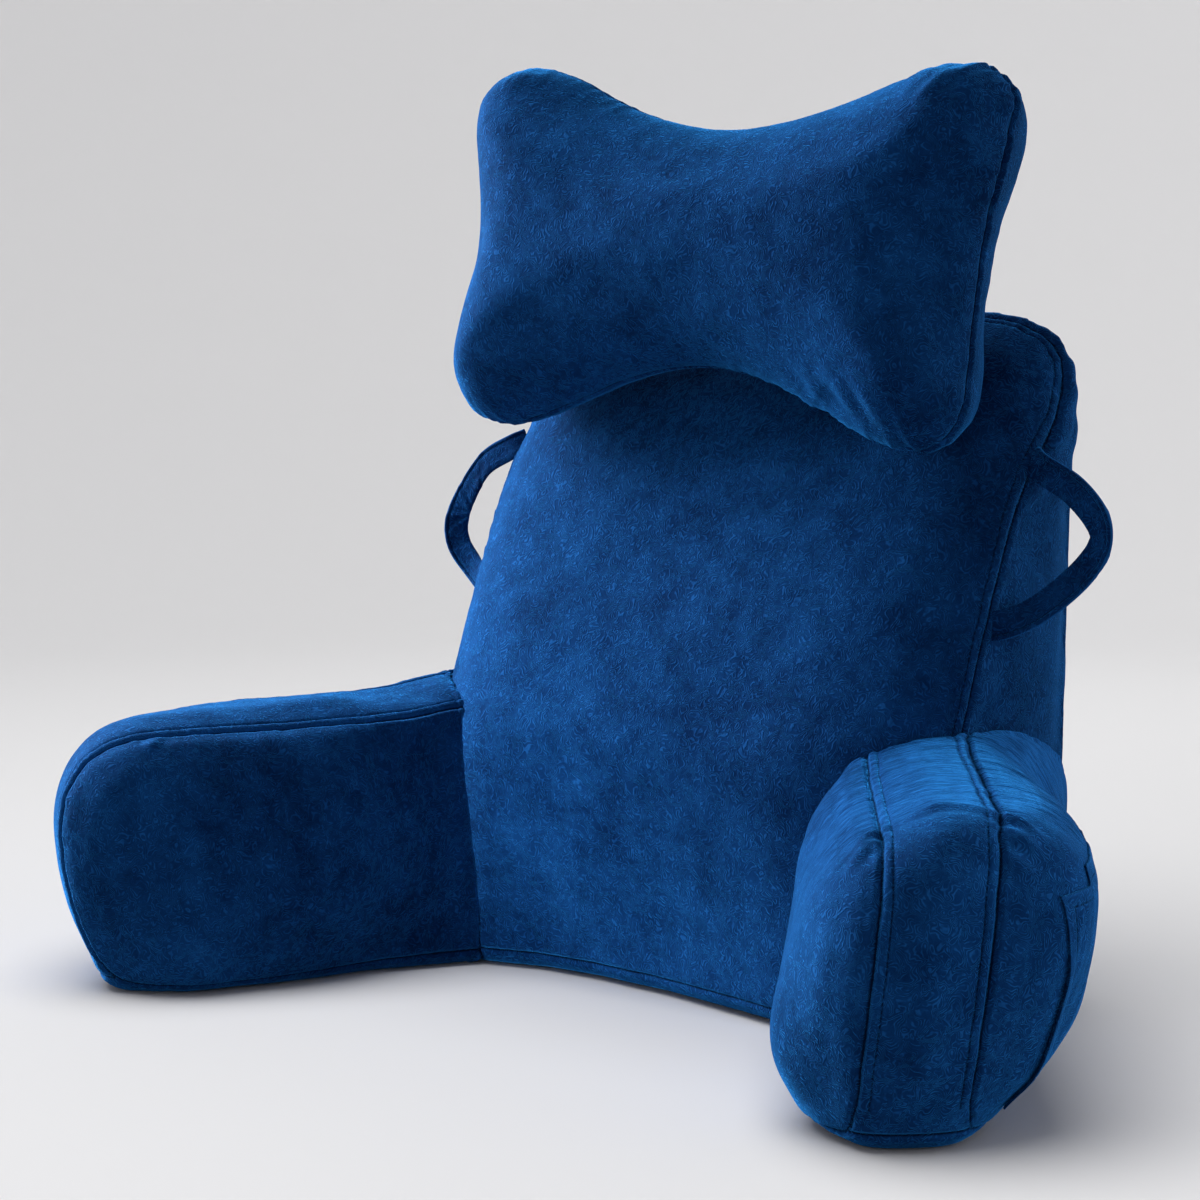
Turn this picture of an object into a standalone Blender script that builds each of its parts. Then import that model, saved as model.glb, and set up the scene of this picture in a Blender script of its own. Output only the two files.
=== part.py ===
"""Reading pillow with arms: a wedge-shaped back cushion, two splayed arm cushions, a bow-tie
neck pillow, two side handles and a patch pocket on the right arm's outer side.

Metres, +Z up. The origin is on the floor under the middle of the back cushion, the sitter faces -Y,
and the object rests on the flat undersides of the back and the arms at z = 0.
"""

import math

import bmesh
import bpy
from mathutils import Matrix, Vector

# ---- driving dimensions, in metres ----
SEAM_LIFT = 0.014        # the bottom seams run this far above the floor
CONTACT_GAP = 0.0004     # clearance left between two pieces that are sewn or pressed together

# Back cushion, seen from the front
BACK_HALF_WIDTH = 0.244   # to the seam between the front panel and the side band
BACK_HEIGHT = 0.524       # to the middle of the front panel's top seam
BACK_SHOULDER = 0.513     # the top seam at the corners, before they are rounded
BACK_TOP_RADIUS = 0.070   # front panel's top corners
BACK_REAR_Y = 0.106       # rear panel's seam plane
BACK_REAR_INSET = 0.008   # the rear panel is this much smaller all round
BACK_REAR_CROWN = 0.024
BACK_FRONT_REACH = 0.125  # the front panel's crown is full this far in from its seam
BACK_BAND_CROWN = 0.009   # how far the side band puffs out
BACK_TOP_CROWN = 0.013    # how far the top band puffs up

# The front panel's seam plane and crown by height
FRONT_PROFILE = (  # z, y of the side seam, crown of the panel
    (0.000, -0.072, 0.030),
    (0.100, -0.074, 0.042),
    (0.200, -0.064, 0.050),
    (0.280, -0.032, 0.048),
    (0.360, 0.003, 0.042),
    (0.440, 0.034, 0.034),
    (0.530, 0.066, 0.022),
)
FRONT_FOOT = (  # x, y of the front panel's bottom seam, which isn't straight
    (-0.250, -0.080),
    (-0.190, -0.098),
    (-0.130, -0.082),
    (-0.080, -0.081),
    (0.000, -0.090),
    (0.084, -0.109),
    (0.130, -0.121),
    (0.190, -0.118),
    (0.250, -0.085),
)

# Arm cushions, in the arm's own axes: s along the arm to its end, w sideways and outwards, z up
ARM_ROOT = (0.201, -0.095)    # where the arm's floor line meets the front panel, right-hand arm
ARM_SPLAY = math.radians(34.5)
ARM_LEAN = math.radians(6.0)  # the arm leans outwards
ARM_SEAM = (  # s, z of the seam round the inner panel, from the buried root over the top to the foot
    (-0.185, 0.060),
    (-0.185, 0.180),
    (-0.160, 0.204),
    (-0.080, 0.210),
    (0.000, 0.207),
    (0.048, 0.202),
    (0.145, 0.197),
    (0.241, 0.195),
    (0.272, 0.190),
    (0.293, 0.179),
    (0.306, 0.163),
    (0.314, 0.142),
    (0.315, 0.111),
    (0.310, 0.076),
    (0.300, 0.045),
    (0.288, 0.024),
    (0.268, 0.014),
    (0.223, 0.012),
    (0.120, 0.014),
    (0.000, 0.014),
    (-0.160, 0.014),
    (-0.185, 0.024),
)
ARM_PLAN = (  # s, w of the strip's inner and outer seams, w of the inner and outer foot seams
    (-0.125, -0.036, 0.058, -0.018, 0.070),
    (0.000, -0.035, 0.036, -0.018, 0.064),
    (0.080, -0.034, 0.038, -0.020, 0.062),
    (0.150, -0.032, 0.041, -0.038, 0.058),
    (0.225, -0.031, 0.043, -0.050, 0.052),
    (0.270, -0.030, 0.044, -0.041, 0.048),
    (0.295, -0.029, 0.044, -0.028, 0.045),
)
ARM_OUTER_RISE = 1.07         # the outer seam runs higher than the inner one by this factor
ARM_OUTER_SETBACK = 0.014     # the outer seam's end is this much further back
ARM_STRIP_CROWN = 0.012       # of the strip over the top
ARM_END_CROWN = 0.008         # of the strip down the end
ARM_INNER_CROWN = 0.045
ARM_OUTER_CROWN = 0.067
ARM_REACH = 0.090             # the side panels' crown is full this far in from their seams
ARM_PANEL_LIFT = 0.16         # how much a panel's crown rises over its top seam

# Neck pillow
NECK_CENTRE = (0.0, -0.022, 0.567)
NECK_LEAN = math.radians(10.5)
NECK_ROLL = math.radians(1.5)  # its right-hand end hangs lower
NECK_THICKNESS = 0.146
NECK_REACH = 0.088
NECK_OUTLINE = (  # x, height over the middle, from the top down the right-hand end to the bottom
    (0.000, 0.094),
    (0.060, 0.101),
    (0.115, 0.116),
    (0.160, 0.133),
    (0.198, 0.142),
    (0.228, 0.134),
    (0.243, 0.110),
    (0.240, 0.080),
    (0.233, 0.040),
    (0.228, 0.000),
    (0.227, -0.040),
    (0.229, -0.080),
    (0.230, -0.110),
    (0.221, -0.133),
    (0.196, -0.142),
    (0.160, -0.136),
    (0.115, -0.118),
    (0.060, -0.097),
    (0.000, -0.088),
)

# Side handles: a flat tube of cloth, by points along its middle. The two hang a little differently.
HANDLE_ROUTE = (  # x outwards, y, z on the right, z on the left, turn of the band's flat in degrees
    (0.240, 0.0370, 0.4150, 0.4150, 0),
    (0.252, 0.0300, 0.4090, 0.4090, 0),
    (0.279, 0.0270, 0.3960, 0.3940, -5),
    (0.299, 0.0240, 0.3790, 0.3650, -10),
    (0.307, 0.0220, 0.3640, 0.3420, -10),
    (0.303, 0.0220, 0.3490, 0.3240, -10),
    (0.286, 0.0190, 0.3280, 0.3080, -5),
    (0.264, 0.0050, 0.3070, 0.2980, 0),
    (0.249, -0.0120, 0.2970, 0.2940, 0),
    (0.236, -0.0120, 0.2930, 0.2910, 0),
)
HANDLE_WIDTH = 0.022
HANDLE_THICKNESS = 0.008

# Patch pocket on the right arm's outer panel, in the arm's axes. Its top edge steps up once.
POCKET_REAR_S = 0.030
POCKET_FRONT_S = (0.262, 0.288)  # at its foot and at its top, beside the arm's end seam
POCKET_FOOT = 0.022
POCKET_LOW_TOP = 0.152           # ahead of the step
POCKET_HIGH_TOP = 0.180          # behind the step
POCKET_COLUMNS = (0.0, 0.18, 0.36, 0.54, 0.70, 0.82, 0.87, 0.89, 0.94, 1.0)
POCKET_STEP = (0.87, 0.89)       # where the step is, as a share of the pocket's length
POCKET_THICKNESS = 0.0022

# ---- mesh fineness ----
BACK_OUTLINE_POINTS = 52
BACK_RINGS = 7
ARM_OUTLINE_POINTS = 46
ARM_RINGS = 6
NECK_STEPS = 2           # outline points between two rows of NECK_QUARTER
NECK_RINGS = 7

CLOTH_BLUE = (0.012, 0.075, 0.270, 1.0)


# ---- small helpers ----
def table_value(table, key, column):
    """Value of a column between the rows of a table, by the first column."""
    if key <= table[0][0]:
        return table[0][column]
    for low, high in zip(table, table[1:]):
        if key <= high[0]:
            t = (key - low[0]) / (high[0] - low[0])
            return low[column] + (high[column] - low[column]) * t
    return table[-1][column]


def blend(edge_low, edge_high, value):
    """0 below the first edge, 1 above the second, eased in between."""
    t = min(max((value - edge_low) / (edge_high - edge_low), 0.0), 1.0)
    return t * t * (3 - 2 * t)


def smooth_line(points, steps):
    """Catmull-Rom line through the points, with this many steps between neighbours."""
    ends = [points[0] * 2 - points[1], *points, points[-1] * 2 - points[-2]]
    line = []
    for a, b, c, d in zip(ends, ends[1:], ends[2:], ends[3:]):
        for k in range(steps):
            t = k / steps
            line.append(
                0.5 * (2 * b + (c - a) * t + (2 * a - 5 * b + 4 * c - d) * t**2
                       + (3 * b - a - 3 * c + d) * t**3)
            )
    return line + [points[-1]]


def even(line, count, closed=False):
    """The line again as points an equal distance apart."""
    track = line + [line[0]] if closed else line
    lengths = [0.0]
    for a, b in zip(track, track[1:]):
        lengths.append(lengths[-1] + (b - a).length)
    steps = count if closed else count - 1
    spaced, leg = [], 0
    for k in range(count):
        target = lengths[-1] * k / steps
        while leg < len(lengths) - 2 and lengths[leg + 1] < target:
            leg += 1
        t = (target - lengths[leg]) / (lengths[leg + 1] - lengths[leg])
        spaced.append(track[leg].lerp(track[leg + 1], t))
    return spaced


def rounded_outline(corners, count):
    """Closed outline of straight sides and round corners, in even steps, by (x, y, radius)."""
    line = []
    for k, (x, y, radius) in enumerate(corners):
        here = Vector((x, y))
        before = Vector(corners[k - 1][:2]) - here
        after = Vector(corners[(k + 1) % len(corners)][:2]) - here
        half_turn = before.angle(after) / 2
        setback = radius / math.tan(half_turn)
        start, finish = here + before.normalized() * setback, here + after.normalized() * setback
        for j in range(9):
            t = j / 8
            line.append(start.lerp(here, t).lerp(here.lerp(finish, t), t))
    return even(line, count, closed=True)


def distance_to(outline, point):
    best = 1e9
    for a, b in zip(outline, outline[1:] + outline[:1]):
        side = b - a
        t = min(max((point - a).dot(side) / side.length_squared, 0.0), 1.0)
        best = min(best, (point - a - side * t).length)
    return best


def puff(depth, reach):
    """0 at a seam, 1 at 'reach' or more from it, round like a filled cushion."""
    t = 1 - min(depth / reach, 1.0)
    return math.sqrt(max(1 - t**2.1, 0.0))


def ring_ratios(rings):
    """Sizes of the rings of a panel from its seam to its middle, closer together by the seam."""
    return [math.cos(math.pi / 2 * k / (rings + 0.35)) ** 1.1 for k in range(1, rings + 1)]


def fabric(name):
    material = bpy.data.materials.new(name)
    material.use_nodes = True
    shader = material.node_tree.nodes["Principled BSDF"]
    shader.inputs["Base Color"].default_value = CLOTH_BLUE
    shader.inputs["Roughness"].default_value = 0.8
    shader.inputs["Metallic"].default_value = 0.0
    material.diffuse_color = CLOTH_BLUE
    return material


def new_object(name, bm, material):
    bmesh.ops.remove_doubles(bm, verts=bm.verts, dist=1e-5)
    bmesh.ops.triangulate(bm, faces=bm.faces)
    bmesh.ops.recalc_face_normals(bm, faces=bm.faces)
    mesh = bpy.data.meshes.new(name)
    bm.to_mesh(mesh)
    bm.free()
    mesh.shade_smooth()
    mesh.materials.append(material)
    obj = bpy.data.objects.new(name, mesh)
    bpy.context.scene.collection.objects.link(obj)
    return obj


def skin(bm, rings, cap_start=None, cap_end=None):
    """Faces between closed rings of points, and fans to a middle point at the ends."""
    loops = [[bm.verts.new(p) for p in ring] for ring in rings]
    for low, high in zip(loops, loops[1:]):
        for k in range(len(low)):
            n = (k + 1) % len(low)
            bm.faces.new((low[k], low[n], high[n], high[k]))
    for loop, middle in ((loops[0], cap_start), (loops[-1], cap_end)):
        if middle is not None:
            centre = bm.verts.new(middle)
            for k in range(len(loop)):
                bm.faces.new((loop[k], loop[(k + 1) % len(loop)], centre))


def swollen(source, name, by):
    """A hidden copy of a piece, grown a little along its normals, for cutting its neighbour."""
    copy = source.copy()
    copy.data = source.data.copy()
    copy.name = name
    bpy.context.scene.collection.objects.link(copy)
    for vertex, normal in [(v, v.normal.copy()) for v in copy.data.vertices]:
        vertex.co += normal * by
    copy.hide_render = True
    copy.display_type = "WIRE"
    return copy


def cut_by(obj, cutter):
    boolean = obj.modifiers.new("cut_by_" + cutter.name, "BOOLEAN")
    boolean.operation = "DIFFERENCE"
    boolean.object = cutter


# ---- back cushion ----
def back_outline():
    low, side = SEAM_LIFT, BACK_HALF_WIDTH
    corners = (
        (-side + 0.006, low, 0.010),
        (side - 0.006, low, 0.010),
        (side, BACK_SHOULDER, BACK_TOP_RADIUS),
        (0.0, BACK_HEIGHT, 1.0),
        (-side, BACK_SHOULDER, BACK_TOP_RADIUS),
    )
    return rounded_outline(corners, BACK_OUTLINE_POINTS)


def front_y(x, z, depth):
    """y of the front panel at (x, z), 'depth' in from its seam."""
    seam = table_value(FRONT_PROFILE, z, 1)
    crown = table_value(FRONT_PROFILE, z, 2)
    full = seam - crown * puff(depth, BACK_FRONT_REACH)
    foot = table_value(FRONT_FOOT, x, 1)
    return foot + (full - foot) * blend(0.0, 0.19, z)


def build_back(material):
    outline = back_outline()
    middle = Vector((0.0, BACK_HEIGHT * 0.50))
    ratios = ring_ratios(BACK_RINGS)

    def front_point(flat):
        return (flat.x, front_y(flat.x, flat.y, distance_to(outline, flat)), flat.y)

    def rear_point(flat):
        shrunk = middle + (flat - middle) * (1 - BACK_REAR_INSET / BACK_HALF_WIDTH)
        shrunk.y = max(shrunk.y, SEAM_LIFT)
        y = BACK_REAR_Y + BACK_REAR_CROWN * puff(distance_to(outline, flat), BACK_FRONT_REACH)
        return (shrunk.x, y, shrunk.y)

    def band_point(k, t):
        """The band round the sides, the top and underneath, from the front seam to the rear seam."""
        flat, before = outline[k], outline[k - 1]
        after = outline[(k + 1) % len(outline)]
        along = (after - before).normalized()
        out = Vector((along.y, -along.x))
        front, rear = Vector(front_point(flat)), Vector(rear_point(flat))
        point = front.lerp(rear, t)
        arch = (1 - abs(2 * t - 1) ** 2.4)
        up = blend(0.2, 0.9, out.y)
        crown = BACK_BAND_CROWN * (1 - up) + BACK_TOP_CROWN * up
        if out.y < -0.5:
            point.z = SEAM_LIFT * abs(2 * t - 1) ** 20
        else:
            point.x += out.x * crown * arch
            point.z += out.y * crown * arch
        return point

    def ring(ratio, place):
        return [place(middle + (p - middle) * ratio) for p in outline]

    bm = bmesh.new()
    rings = [ring(r, front_point) for r in reversed(ratios)]
    rings.append([front_point(p) for p in outline])
    for t in (0.05, 0.30, 0.70, 0.95):
        rings.append([band_point(k, t) for k in range(len(outline))])
    rings.append([rear_point(p) for p in outline])
    rings += [ring(r, rear_point) for r in ratios]
    skin(bm, rings, front_point(middle), rear_point(middle))
    return new_object("back_cushion", bm, material)


# ---- arms ----
def arm_outline():
    return even(smooth_line([Vector(p) for p in ARM_SEAM + ARM_SEAM[:1]], 4)[:-1],
                ARM_OUTLINE_POINTS, closed=True)


def arm_panel(outline, side, s, z):
    """s, w and z of a side panel's point over (s, z). side is -1 for inner and 1 for outer."""
    top = table_value(ARM_PLAN, s, 1 if side < 0 else 2)
    foot = table_value(ARM_PLAN, s, 3 if side < 0 else 4)
    half = foot + (top - foot) * blend(0.0, 0.17, z)
    fullness = puff(distance_to(outline, Vector((s, z))), ARM_REACH)
    if side < 0:
        bulge = ARM_INNER_CROWN * fullness * blend(-0.01, 0.14, s)
    else:
        bulge = ARM_OUTER_CROWN * fullness * (0.80 + 0.35 * blend(0.0, 0.17, z))
    rise = 1 + (ARM_OUTER_RISE - 1) * blend(0.02, 0.19, z) if side > 0 else 1.0
    lift = ARM_PANEL_LIFT * bulge * blend(0.08, 0.20, z)
    setback = ARM_OUTER_SETBACK * blend(0.18, 0.31, s) if side > 0 else 0.0
    return s - setback, half + side * bulge + z * math.tan(ARM_LEAN), z * rise + lift


def arm_to_world(s, w, z, mirror):
    along = Vector((math.sin(ARM_SPLAY), -math.cos(ARM_SPLAY)))
    outward = Vector((math.cos(ARM_SPLAY), math.sin(ARM_SPLAY)))
    plan = Vector(ARM_ROOT) + along * s + outward * w
    return Vector((plan.x * mirror, plan.y, z))


def build_arm(name, mirror, cutter, material):
    outline = arm_outline()
    middle = Vector((0.064, 0.106))
    ratios = ring_ratios(ARM_RINGS)

    def panel_point(flat, side):
        return arm_to_world(*arm_panel(outline, side, flat.x, flat.y), mirror)

    def strip_point(k, t):
        """The strip over the top and down the end, and the bottom panel, from inner to outer seam."""
        flat = outline[k]
        along = (outline[(k + 1) % len(outline)] - outline[k - 1]).normalized()
        out = Vector((-along.y, along.x))
        inner = Vector(arm_panel(outline, -1, flat.x, flat.y))
        outer = Vector(arm_panel(outline, 1, flat.x, flat.y))
        up = blend(0.2, 0.9, out.y)
        crown = ARM_STRIP_CROWN * up + ARM_END_CROWN * (1 - up)
        arch = crown * (1 - abs(2 * t - 1) ** 2.2)
        s, w, z = inner.lerp(outer, t) + Vector((out.x, 0.0, out.y)) * arch
        down = blend(0.5, 0.95, -out.y)
        z = z * (1 - down) + SEAM_LIFT * abs(2 * t - 1) ** 16 * down
        return arm_to_world(s, w, max(z, 0.006 * blend(0.08, 0.12, -s)), mirror)

    bm = bmesh.new()
    rings = [[panel_point(middle + (p - middle) * r, -1) for p in outline] for r in reversed(ratios)]
    rings.append([panel_point(p, -1) for p in outline])
    for t in (0.08, 0.34, 0.66, 0.92):
        rings.append([strip_point(k, t) for k in range(len(outline))])
    rings.append([panel_point(p, 1) for p in outline])
    rings += [[panel_point(middle + (p - middle) * r, 1) for p in outline] for r in ratios]
    skin(bm, rings, panel_point(middle, -1), panel_point(middle, 1))
    arm = new_object(name, bm, material)
    cut_by(arm, cutter)
    return arm


# ---- neck pillow ----
def neck_outline():
    right = smooth_line([Vector(p) for p in NECK_OUTLINE], NECK_STEPS)
    left = [Vector((-p.x, p.y)) for p in reversed(right[1:-1])]
    roll = Matrix.Rotation(-NECK_ROLL, 2)
    return [roll @ p for p in right + left]


def build_neck_pillow(cutter, material):
    outline = neck_outline()
    ratios = ring_ratios(NECK_RINGS)
    up = Vector((0.0, math.sin(NECK_LEAN), math.cos(NECK_LEAN)))
    front = Vector((0.0, -math.cos(NECK_LEAN), math.sin(NECK_LEAN)))

    def place(flat, side):
        bulge = NECK_THICKNESS / 2 * puff(distance_to(outline, flat), NECK_REACH)
        return Vector(NECK_CENTRE) + Vector((flat.x, 0, 0)) + up * flat.y + front * bulge * side

    bm = bmesh.new()
    rings = [[place(p * r, 1) for p in outline] for r in reversed(ratios)]
    rings.append([place(p, 0) for p in outline])
    rings += [[place(p * r, -1) for p in outline] for r in ratios]
    skin(bm, rings, place(Vector((0, 0)), 1), place(Vector((0, 0)), -1))
    pillow = new_object("neck_pillow", bm, material)
    cut_by(pillow, cutter)
    return pillow


# ---- handles ----
def build_handle(name, mirror, cutter, material):
    z_column = 2 if mirror > 0 else 3
    turned = [Vector((row[0], row[1], row[z_column], math.radians(row[4]))) for row in HANDLE_ROUTE]
    route = smooth_line(turned, 2)
    rings = []
    for k, here in enumerate(route):
        low, high = route[max(k - 1, 0)], route[min(k + 1, len(route) - 1)]
        along = (high - low).xyz.normalized()
        flat_normal = Vector((math.sin(here.w), -math.cos(here.w), 0.0))
        thick = (flat_normal - along * flat_normal.dot(along)).normalized()
        wide = along.cross(thick)
        ring = []
        for j in range(8):
            angle = 2 * math.pi * (j + 0.5) / 8
            across = wide * (math.cos(angle) * HANDLE_WIDTH * 0.54)
            point = here.xyz + across + thick * (math.sin(angle) * HANDLE_THICKNESS * 0.54)
            ring.append(Vector((point.x * mirror, point.y, point.z)))
        rings.append(ring)
    bm = bmesh.new()
    ends = [Vector((p.x * mirror, p.y, p.z)) for p in (route[0], route[-1])]
    skin(bm, rings, *ends)
    handle = new_object(name, bm, material)
    cut_by(handle, cutter)
    return handle


# ---- pocket ----
def build_pocket(cutter, material):
    outline = arm_outline()
    rows = 8

    def sheet(offset):
        grid = []
        for share in POCKET_COLUMNS:
            step = blend(*POCKET_STEP, share)
            top = POCKET_HIGH_TOP + (POCKET_LOW_TOP - POCKET_HIGH_TOP) * step
            column = []
            for k in range(rows + 1):
                height = POCKET_FOOT + (top - POCKET_FOOT) * k / rows
                low, high = POCKET_FRONT_S
                front = low + (high - low) * blend(POCKET_FOOT, POCKET_LOW_TOP, height)
                along = POCKET_REAR_S + (front - POCKET_REAR_S) * share
                s, w, z = arm_panel(outline, 1, along, height)
                column.append(arm_to_world(s, w + offset, z, 1))
            grid.append(column)
        return grid

    bm = bmesh.new()
    outer = [[bm.verts.new(p) for p in line] for line in sheet(POCKET_THICKNESS)]
    inner = [[bm.verts.new(p) for p in line] for line in sheet(-0.006)]
    last_s, last_z = len(POCKET_COLUMNS) - 1, rows
    for grid in (outer, inner):
        for a, b in zip(grid, grid[1:]):
            for k in range(last_z):
                bm.faces.new((a[k], b[k], b[k + 1], a[k + 1]))
    rim = [(i, 0) for i in range(last_s)] + [(last_s, j) for j in range(last_z)]
    rim += [(i, last_z) for i in range(last_s, 0, -1)] + [(0, j) for j in range(last_z, 0, -1)]
    for (i, j), (m, n) in zip(rim, rim[1:] + rim[:1]):
        bm.faces.new((outer[i][j], outer[m][n], inner[m][n], inner[i][j]))
    pocket = new_object("pocket", bm, material)
    cut_by(pocket, cutter)
    return pocket


def main():
    for obj in list(bpy.data.objects):
        bpy.data.objects.remove(obj)
    back = build_back(fabric("back_velvet"))
    back_cutter = swollen(back, "back_cutter", CONTACT_GAP)
    build_arm("arm_left", -1, back_cutter, fabric("left_arm_velvet"))
    right_arm = build_arm("arm_right", 1, back_cutter, fabric("right_arm_velvet"))
    build_neck_pillow(back_cutter, fabric("neck_pillow_velvet"))
    build_handle("handle_left", -1, back_cutter, fabric("left_handle_velvet"))
    build_handle("handle_right", 1, back_cutter, fabric("right_handle_velvet"))
    arm_cutter = swollen(right_arm, "arm_cutter", CONTACT_GAP)
    arm_cutter.modifiers.clear()
    build_pocket(arm_cutter, fabric("pocket_velvet"))


main()
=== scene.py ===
# A reading pillow with arms in blue velvet: back cushion, two arms, neck pillow, handles and a pocket.
import math

import bmesh
import bpy
import numpy as np
from mathutils import Matrix, Vector, noise
from mathutils.bvhtree import BVHTree
from mathutils.kdtree import KDTree


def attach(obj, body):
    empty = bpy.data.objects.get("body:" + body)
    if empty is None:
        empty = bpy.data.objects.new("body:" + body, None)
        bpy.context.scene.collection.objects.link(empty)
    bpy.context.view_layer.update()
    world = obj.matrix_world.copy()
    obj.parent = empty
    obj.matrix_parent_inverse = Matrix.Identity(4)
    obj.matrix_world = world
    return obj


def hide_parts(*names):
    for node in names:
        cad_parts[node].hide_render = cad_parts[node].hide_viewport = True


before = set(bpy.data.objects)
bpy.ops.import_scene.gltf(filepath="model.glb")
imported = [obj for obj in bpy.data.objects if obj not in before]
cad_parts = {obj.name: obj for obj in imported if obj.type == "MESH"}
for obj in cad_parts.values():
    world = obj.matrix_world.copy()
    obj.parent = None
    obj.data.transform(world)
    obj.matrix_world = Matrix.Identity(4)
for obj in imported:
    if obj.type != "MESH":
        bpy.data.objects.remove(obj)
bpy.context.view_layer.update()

# Lengths are in metres and angles in degrees.


# Small tools
def tableValue(table, key, column):
    if key <= table[0][0]:
        return table[0][column]
    for low, high in zip(table, table[1:]):
        if key <= high[0]:
            share = (key - low[0]) / (high[0] - low[0])
            return low[column] + (high[column] - low[column]) * share
    return table[-1][column]


def ease(low, high, value):
    share = min(max((value - low) / (high - low), 0.0), 1.0)
    return share * share * (3 - 2 * share)


def bell(value, middle, width):
    return math.exp(-((value - middle) / width) ** 2)


def easeAll(low, high, values):
    share = np.clip((values - low) / (high - low), 0.0, 1.0)
    return share * share * (3 - 2 * share)


def bellAll(values, middle, width):
    return np.exp(-((values - middle) / width) ** 2)


def smoothLine(points, steps):
    # a smooth curve through all the points
    ends = [points[0] * 2 - points[1], *points, points[-1] * 2 - points[-2]]
    line = []
    for a, b, c, d in zip(ends, ends[1:], ends[2:], ends[3:]):
        for k in range(steps):
            t = k / steps
            line.append(0.5 * (2 * b + (c - a) * t + (2 * a - 5 * b + 4 * c - d) * t**2
                               + (3 * b - a - 3 * c + d) * t**3))
    return line + [points[-1]]


def evenly(line, count, closed=False):
    # points at even distances along a line
    track = line + [line[0]] if closed else line
    lengths = [0.0]
    for a, b in zip(track, track[1:]):
        lengths.append(lengths[-1] + (b - a).length)
    steps, spaced, leg = count if closed else count - 1, [], 0
    for k in range(count):
        target = lengths[-1] * k / steps
        while leg < len(lengths) - 2 and lengths[leg + 1] < target:
            leg += 1
        share = (target - lengths[leg]) / (lengths[leg + 1] - lengths[leg])
        spaced.append(track[leg].lerp(track[leg + 1], share))
    return spaced


def roundedOutline(corners, count):
    # a closed outline through corners given as x, y and radius
    line = []
    for k, (x, y, radius) in enumerate(corners):
        here = Vector((x, y))
        before = Vector(corners[k - 1][:2]) - here
        after = Vector(corners[(k + 1) % len(corners)][:2]) - here
        setback = radius / math.tan(before.angle(after) / 2)
        start, finish = here + before.normalized() * setback, here + after.normalized() * setback
        for j in range(17):
            t = j / 16
            line.append(start.lerp(here, t).lerp(here.lerp(finish, t), t))
    return evenly(line, count, closed=True)


def distanceTo(outline, point):
    best = 1e9
    for a, b in zip(outline, outline[1:] + outline[:1]):
        side = b - a
        t = min(max((point - a).dot(side) / side.length_squared, 0.0), 1.0)
        best = min(best, (point - a - side * t).length_squared)
    return math.sqrt(best)


def puff(depth, reach):
    # how full a cushion is at this depth from its seam, from 0 to 1
    return math.sqrt(max(1 - (1 - min(depth / reach, 1.0)) ** 2.1, 0.0))


def ringRatios(rings):
    # sizes of the rings of a panel, closer together towards its seam
    return [math.cos(math.pi / 2 * k / (rings + 0.35)) ** 1.1 for k in range(1, rings + 1)]


def towards(points, edge):
    return [(p - q).normalized() for p, q in zip(points, edge)]


def inOrder(chosen, count):
    # indices round a closed outline, in order from the first after a gap
    first = next(k for k in chosen if (k - 1) % count not in chosen)
    return [(first + j) % count for j in range(len(chosen))]


def addObject(name, data):
    added = bpy.data.objects.new(name, data)
    bpy.context.scene.collection.objects.link(added)
    return added


def addMesh(name, bm):
    mesh = bpy.data.meshes.new(name)
    bm.to_mesh(mesh)
    bm.free()
    return addObject(name, mesh)


def skinRings(name, rings, capStart=None, capEnd=None):
    # a skin over rings of points, closed at its ends by a point each
    bm = bmesh.new()
    loops = [[bm.verts.new(p) for p in ring] for ring in rings]
    for low, high in zip(loops, loops[1:]):
        for k in range(len(low)):
            n = (k + 1) % len(low)
            bm.faces.new((low[k], low[n], high[n], high[k]))
    for loop, middle in ((loops[0], capStart), (loops[-1], capEnd)):
        if middle is not None:
            centre = bm.verts.new(middle)
            for k in range(len(loop)):
                bm.faces.new((loop[k], loop[(k + 1) % len(loop)], centre))
    bmesh.ops.remove_doubles(bm, verts=bm.verts, dist=1e-5)
    bmesh.ops.recalc_face_normals(bm, faces=bm.faces)
    return addMesh(name, bm)


def applyModifier(piece, kind, **values):
    modifier = piece.modifiers.new(kind.lower(), kind)
    for key, value in values.items():
        setattr(modifier, key, value)
    bpy.ops.object.select_all(action="DESELECT")
    piece.select_set(True)
    bpy.context.view_layer.objects.active = piece
    bpy.ops.object.modifier_apply(modifier=modifier.name)


def readVectors(items, name):
    flat = np.empty(len(items) * 3, dtype=np.float32)
    items.foreach_get(name, flat)
    return flat.reshape(-1, 3).astype(np.float64)


def getPoints(mesh):
    return readVectors(mesh.vertices, "co")


def setPoints(mesh, points):
    mesh.vertices.foreach_set("co", points.astype(np.float32).ravel())
    mesh.update()


def getNormals(mesh):
    return readVectors(mesh.vertex_normals, "vector")


def treeOf(piece):
    mesh = piece.data
    return BVHTree.FromPolygons([v.co for v in mesh.vertices], [p.vertices for p in mesh.polygons])


def noiseAt(points, scale):
    return np.array([noise.noise(Vector(p) * scale) for p in points])


def setAttribute(mesh, name, values, kind="FLOAT", field="value"):
    layer = mesh.attributes.new(name, kind, "POINT")
    layer.data.foreach_set(field, np.asarray(values, dtype=np.float32).ravel())


def setSeams(mesh, gaps, runs, sewn=None):
    # what the velvet needs to paint shade into the creases and a highlight beside them, and to draw the rows
    # of stitches
    setAttribute(mesh, "seamGap", gaps)
    setAttribute(mesh, "seamRun", runs)
    setAttribute(mesh, "seamStitched", np.ones(len(gaps)) if sewn is None else sewn)


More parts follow.
